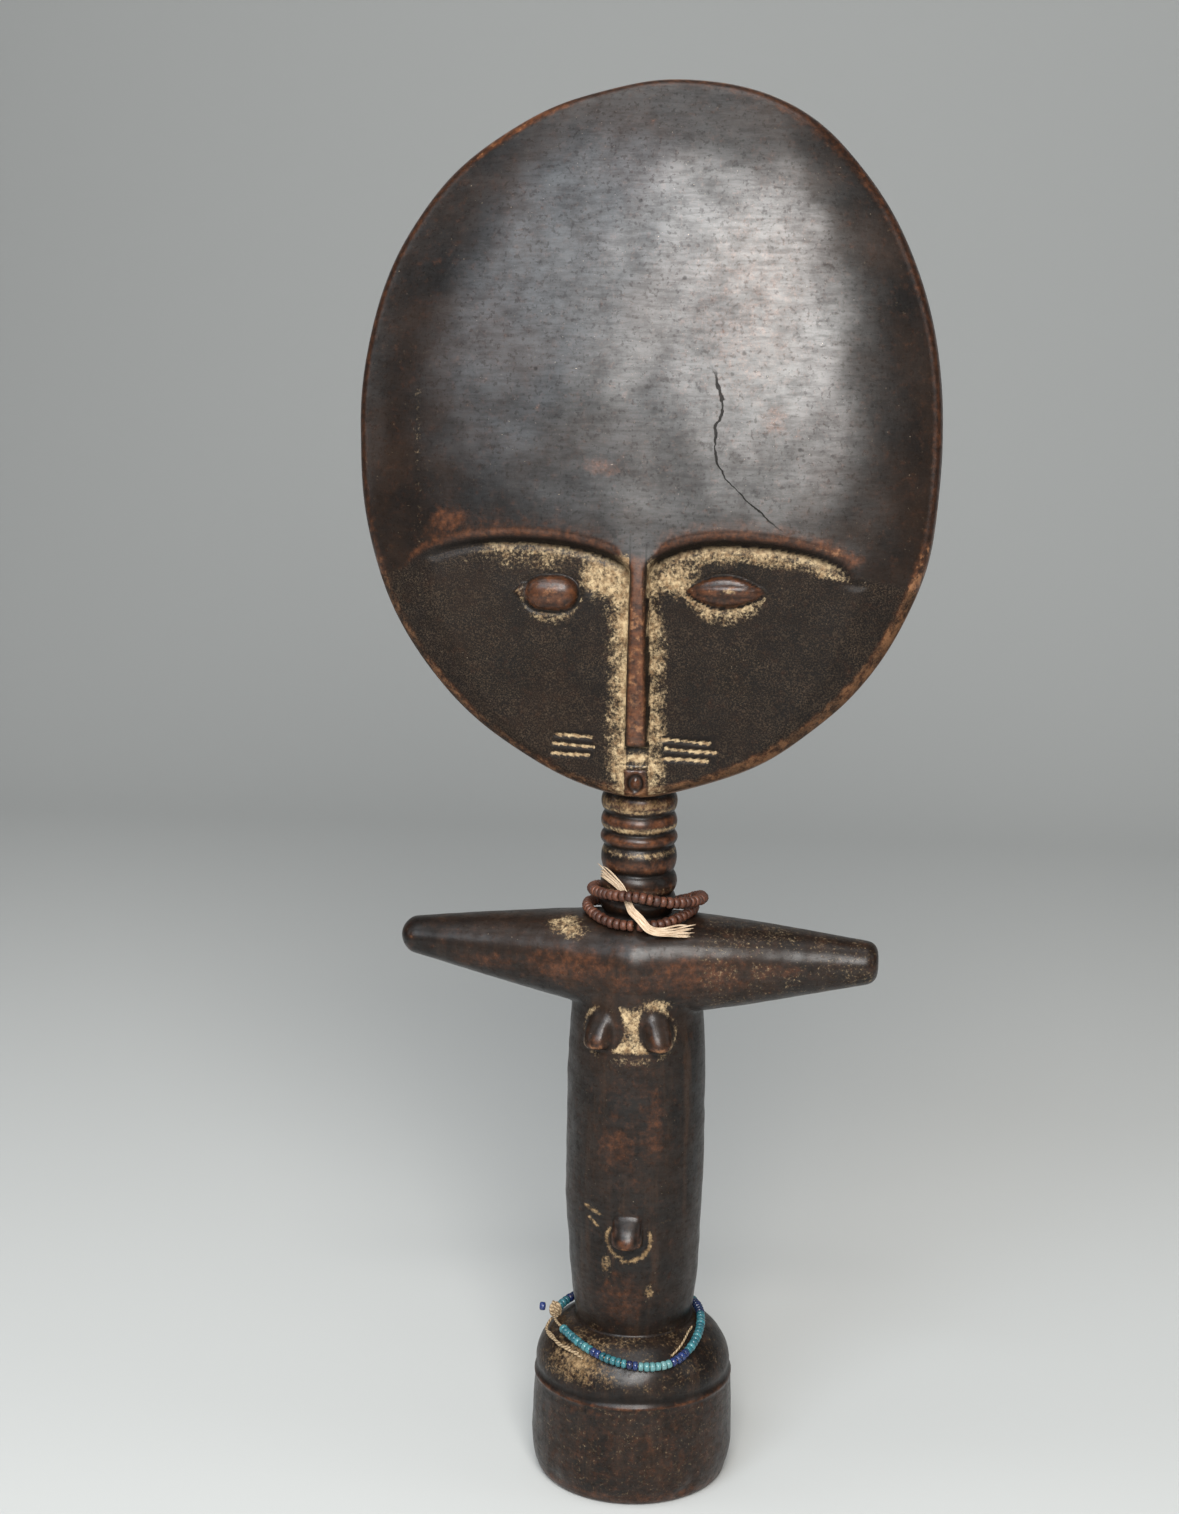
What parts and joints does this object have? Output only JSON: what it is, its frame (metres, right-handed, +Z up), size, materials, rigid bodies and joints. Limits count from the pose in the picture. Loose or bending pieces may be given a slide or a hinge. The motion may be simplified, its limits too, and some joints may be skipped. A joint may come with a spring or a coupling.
{
  "type": "akuaba doll",
  "caption": "Standing carved wooden fertility doll with a flat disc head, ringed neck, cone arms and a round base, dressed with a bead necklace and a glass bead anklet.",
  "frame": {"origin": "centre of the flat underside of the base", "axes": "+Z up along the torso, -Y out of the face, +X to the viewer's right"},
  "size_m": [0.1376, 0.0512, 0.3412],
  "materials": {
    "wood": "near-black brown carved hardwood, hand-worn to a satin shine, with cream pigment left in the cuts",
    "brown_beads": "reddish-brown seed beads with a dull shine",
    "raffia": "dry tan raffia strip with frayed ends",
    "glass_beads": "glossy opaque turquoise and dark blue glass seed beads",
    "thread": "tan cotton thread",
    "blue_glass": "glossy dark blue glass"
  },
  "bodies": {
    "root": {"figure": "wood", "necklace": "brown_beads", "raffia_tie": "raffia", "anklet": "glass_beads", "anklet_tie": "thread", "end_bead": "blue_glass"}
  },
  "joints": []
}
